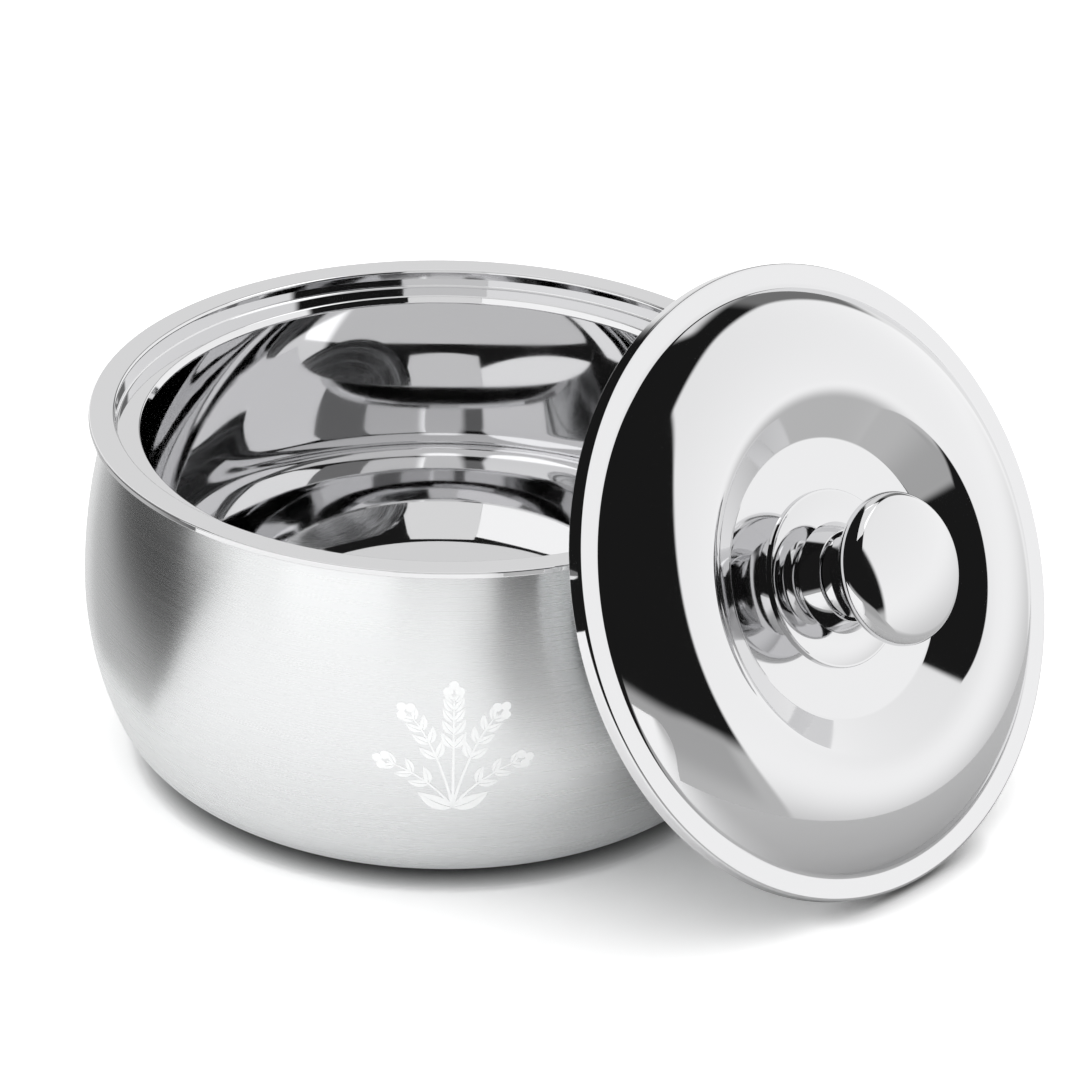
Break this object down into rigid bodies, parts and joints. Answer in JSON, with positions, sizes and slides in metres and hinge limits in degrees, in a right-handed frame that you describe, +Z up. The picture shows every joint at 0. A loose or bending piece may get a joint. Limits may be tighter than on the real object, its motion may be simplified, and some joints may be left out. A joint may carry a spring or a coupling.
{
  "type": "insulated flatbread casserole",
  "caption": "Double-walled steel belly bowl with a flat ring mouth and stepped ledge, and its loose domed lid with a mushroom knob leaning on the rim.",
  "frame": {"origin": "centre of the bowl's foot, on the surface that it stands on", "axes": "+Z up along the bowl's axis; the lid leans on the rim towards +X and -Y"},
  "size_m": [0.3034, 0.2503, 0.1768],
  "materials": {
    "satin_steel": "fine satin brushed stainless steel",
    "polished_steel": "mirror polished stainless steel",
    "zinc_plated_steel": "bright zinc plated steel",
    "foam": "rigid polyurethane foam",
    "plug_plastic": "moulded black polyethylene"
  },
  "bodies": {
    "bowl": {"outer_shell": "satin_steel", "inner_bowl": "polished_steel", "body_insulation": "foam", "base_plate": "satin_steel", "base_plug": "plug_plastic"},
    "lid": {"lid_dome": "polished_steel", "lid_liner": "satin_steel", "lid_insulation": "foam", "knob_collar": "polished_steel", "knob_stem": "polished_steel", "knob_head": "polished_steel", "knob_stud": "zinc_plated_steel", "knob_backing_plate": "zinc_plated_steel", "knob_lock_washer": "zinc_plated_steel", "knob_nut": "zinc_plated_steel"}
  },
  "joints": [
    {"name": "lid_lift", "type": "slide", "parent": "bowl", "child": "lid", "axis": [0.6516, -0.6077, 0.454], "range_m": [0, 0.15]}
  ]
}
